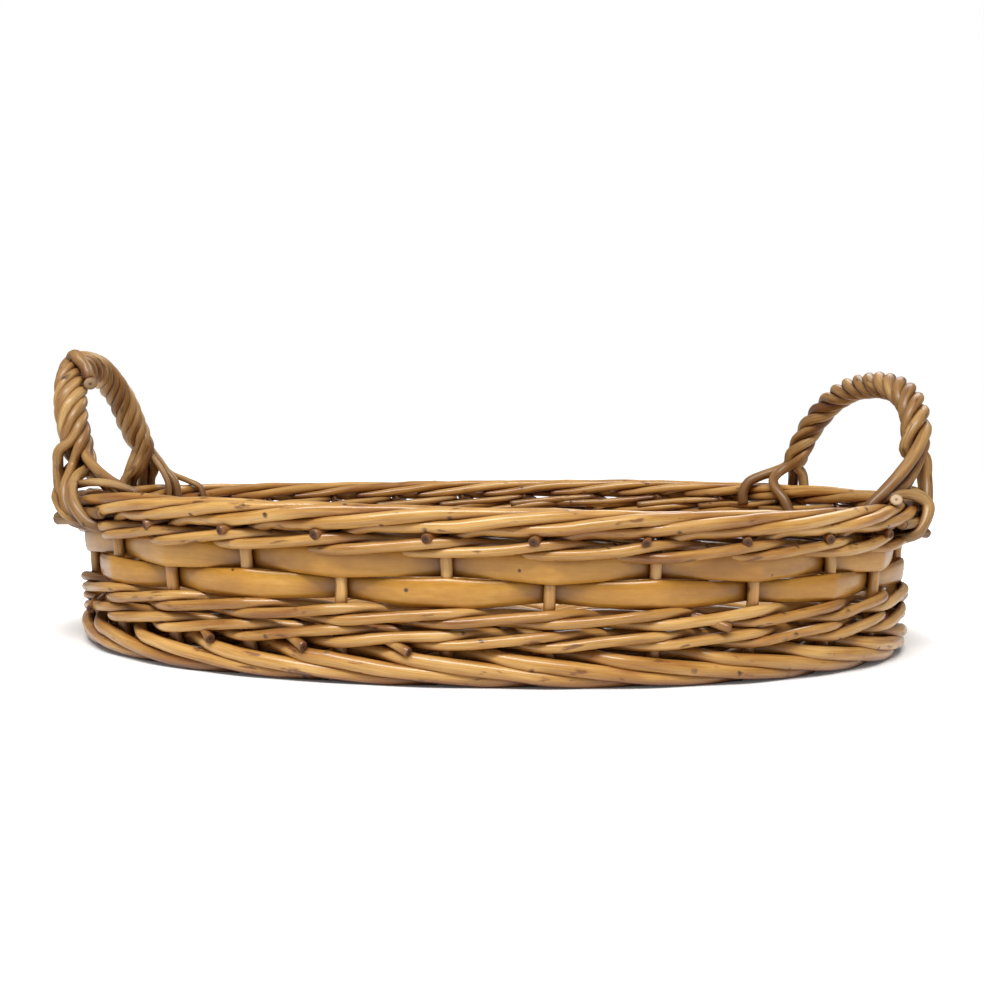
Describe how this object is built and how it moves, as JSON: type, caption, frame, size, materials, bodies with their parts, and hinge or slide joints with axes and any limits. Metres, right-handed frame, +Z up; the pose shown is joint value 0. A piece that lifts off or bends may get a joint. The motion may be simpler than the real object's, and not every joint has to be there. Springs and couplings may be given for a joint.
{
  "type": "willow tray",
  "caption": "Shallow oval willow tray with a roped border and foot, waled and splint-woven sides, a woven floor and a roped bow handle at each end.",
  "frame": {"origin": "midway between the farthest points of the two handles and of the two long sides, on the ground plane that the foot stands on", "axes": "+X along the length of the tray from the left handle to the right one, +Y from the front to the back, +Z up"},
  "size_m": [0.4179, 0.2938, 0.1373],
  "materials": {
    "peeled_rod": "varnished peeled willow, satin gloss",
    "wale_rod": "varnished thin willow rod, satin gloss",
    "split_willow": "varnished split willow, glossy and smooth",
    "roped_willow": "varnished twisted willow, satin",
    "floor_weave": "woven thin willow, satin"
  },
  "bodies": {
    "root": {"stake_01": "peeled_rod", "stake_02": "peeled_rod", "stake_03": "peeled_rod", "stake_04": "peeled_rod", "stake_05": "peeled_rod", "stake_06": "peeled_rod", "stake_07": "peeled_rod", "stake_08": "peeled_rod", "stake_09": "peeled_rod", "stake_10": "peeled_rod", "stake_11": "peeled_rod", "stake_12": "peeled_rod", "stake_13": "peeled_rod", "stake_14": "peeled_rod", "stake_15": "peeled_rod", "stake_16": "peeled_rod", "stake_17": "peeled_rod", "stake_18": "peeled_rod", "stake_19": "peeled_rod", "stake_20": "peeled_rod", "stake_21": "peeled_rod", "stake_22": "peeled_rod", "stake_23": "peeled_rod", "stake_24": "peeled_rod", "stake_25": "peeled_rod", "stake_26": "peeled_rod", "lower_wale_row1_1": "wale_rod", "lower_wale_row1_2": "wale_rod", "lower_wale_row1_3": "wale_rod", "lower_wale_row2_1": "wale_rod", "lower_wale_row2_2": "wale_rod", "lower_wale_row2_3": "wale_rod", "upper_wale_1": "wale_rod", "upper_wale_2": "wale_rod", "upper_wale_3": "wale_rod", "splint_lower": "split_willow", "splint_upper": "split_willow", "handle_core_left": "peeled_rod", "handle_strand_left_1": "roped_willow", "handle_strand_left_2": "roped_willow", "handle_strand_left_3": "roped_willow", "handle_strand_left_4": "roped_willow", "handle_core_right": "peeled_rod", "handle_strand_right_1": "roped_willow", "handle_strand_right_2": "roped_willow", "handle_strand_right_3": "roped_willow", "handle_strand_right_4": "roped_willow", "base_weave": "floor_weave", "base_long_stick_1": "peeled_rod", "base_long_stick_2": "peeled_rod", "base_long_stick_3": "peeled_rod", "base_cross_stick_1": "peeled_rod", "base_cross_stick_2": "peeled_rod", "base_cross_stick_3": "peeled_rod", "base_cross_stick_4": "peeled_rod", "base_cross_stick_5": "peeled_rod", "base_cross_stick_6": "peeled_rod", "base_cross_stick_7": "peeled_rod"}
  },
  "joints": []
}
